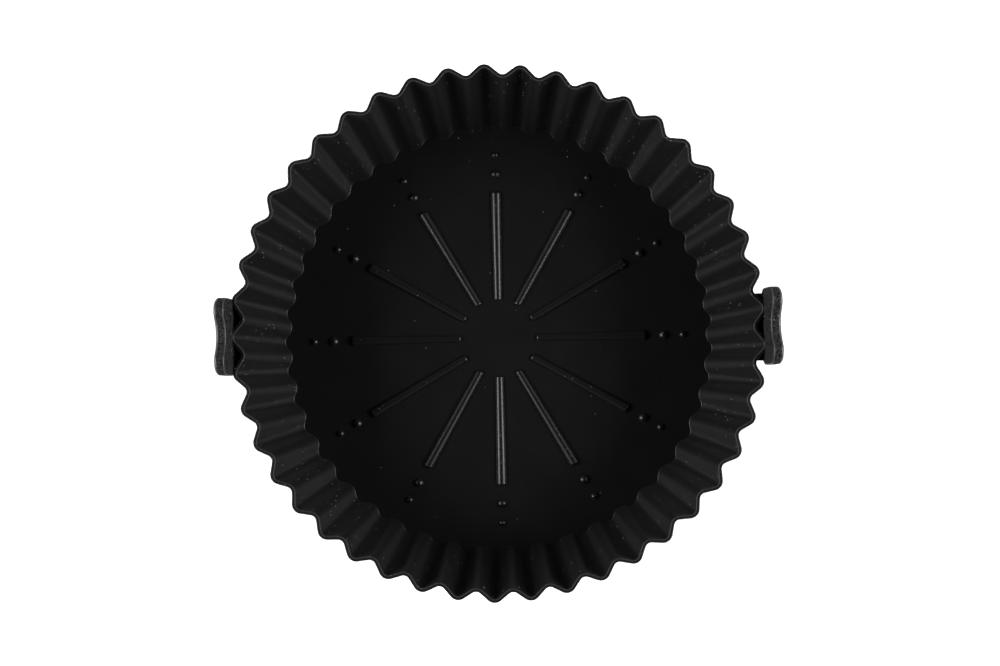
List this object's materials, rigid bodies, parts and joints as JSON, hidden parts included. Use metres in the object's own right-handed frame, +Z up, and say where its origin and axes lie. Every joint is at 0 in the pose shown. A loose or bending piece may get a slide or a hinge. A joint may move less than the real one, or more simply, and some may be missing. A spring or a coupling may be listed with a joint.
{
  "type": "air fryer liner",
  "caption": "Round black silicone air fryer liner with a fluted tapering wall, a floor raised with radial ribs and small domes, and an upright ear handle on each side.",
  "frame": {"origin": "centre of the flat underside of the floor, under the middle of the box around the part", "axes": "+Z up along the pan's axis, +X through the right ear handle"},
  "size_m": [0.2078, 0.1996, 0.0618],
  "materials": {
    "black_silicone": "matte moulded silicone"
  },
  "bodies": {
    "root": {"liner": "black_silicone"}
  },
  "joints": []
}
